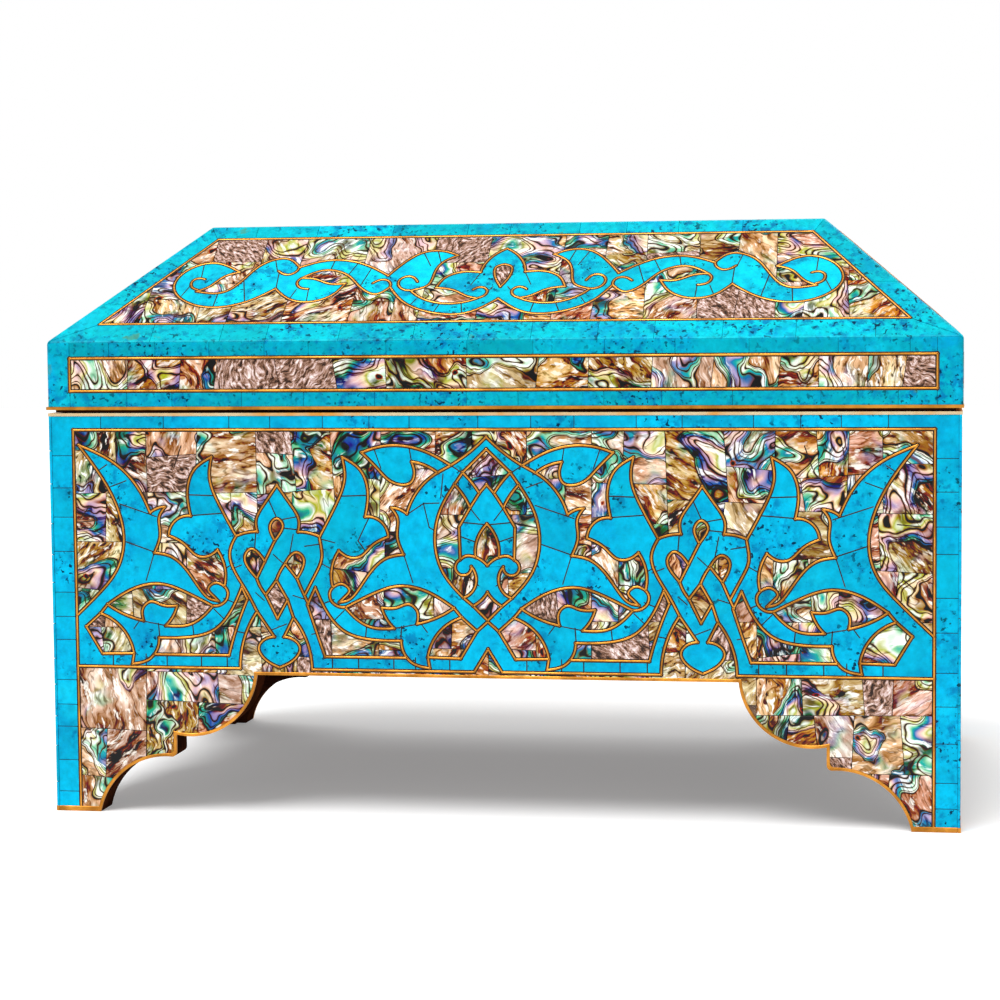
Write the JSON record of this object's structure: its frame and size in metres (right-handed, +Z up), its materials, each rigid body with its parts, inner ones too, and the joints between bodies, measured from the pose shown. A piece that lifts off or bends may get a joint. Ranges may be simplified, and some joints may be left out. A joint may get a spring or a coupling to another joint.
{
  "type": "inlaid wooden box",
  "caption": "Wooden casket on bracket feet with a hinged hipped lid, clad in turquoise and shell inlay divided by brass wire; the front has an interlaced arabesque.",
  "frame": {"origin": "middle of the footprint, on the floor plane under the feet", "axes": "+X to the right along the long front, +Y to the hinged back, +Z up"},
  "size_m": [0.361, 0.2397, 0.2357],
  "materials": {
    "wood": "dark stained, oiled",
    "turquoise": "polished stone",
    "shell": "polished nacre",
    "brass": "polished"
  },
  "bodies": {
    "box": {"front_board": "wood", "back_board": "wood", "left_board": "wood", "right_board": "wood", "floor_panel": "wood", "body_rim": "brass", "front_border": "turquoise", "front_shell": "shell", "front_wire": "brass", "front_edging": "brass", "back_border": "turquoise", "back_shell": "shell", "back_wire": "brass", "back_edging": "brass", "left_border": "turquoise", "left_shell": "shell", "left_wire": "brass", "left_edging": "brass", "right_border": "turquoise", "right_shell": "shell", "right_wire": "brass", "right_edging": "brass", "front_arabesque": "turquoise", "hinge_left_body_leaf": "brass", "hinge_left_pin": "brass", "hinge_right_body_leaf": "brass", "hinge_right_pin": "brass"},
    "lid": {"lid_front_rail": "wood", "lid_front_slope": "wood", "lid_back_rail": "wood", "lid_back_slope": "wood", "lid_left_rail": "wood", "lid_left_slope": "wood", "lid_right_rail": "wood", "lid_right_slope": "wood", "lid_top_board": "wood", "lid_rim": "brass", "lid_front_border": "turquoise", "lid_front_shell": "shell", "lid_front_wire": "brass", "lid_back_border": "turquoise", "lid_back_shell": "shell", "lid_back_wire": "brass", "lid_left_border": "turquoise", "lid_left_shell": "shell", "lid_left_wire": "brass", "lid_right_border": "turquoise", "lid_right_shell": "shell", "lid_right_wire": "brass", "lid_top_border": "turquoise", "lid_top_shell": "shell", "lid_top_wire": "brass", "lid_front_arabesque": "turquoise", "hinge_left_lid_leaf": "brass", "hinge_right_lid_leaf": "brass"}
  },
  "joints": [
    {"name": "lid_hinge", "type": "hinge", "parent": "box", "child": "lid", "pos_m": [0, 0.12, 0.16085], "axis": [-1, 0, 0], "range_deg": [0, 105]}
  ]
}
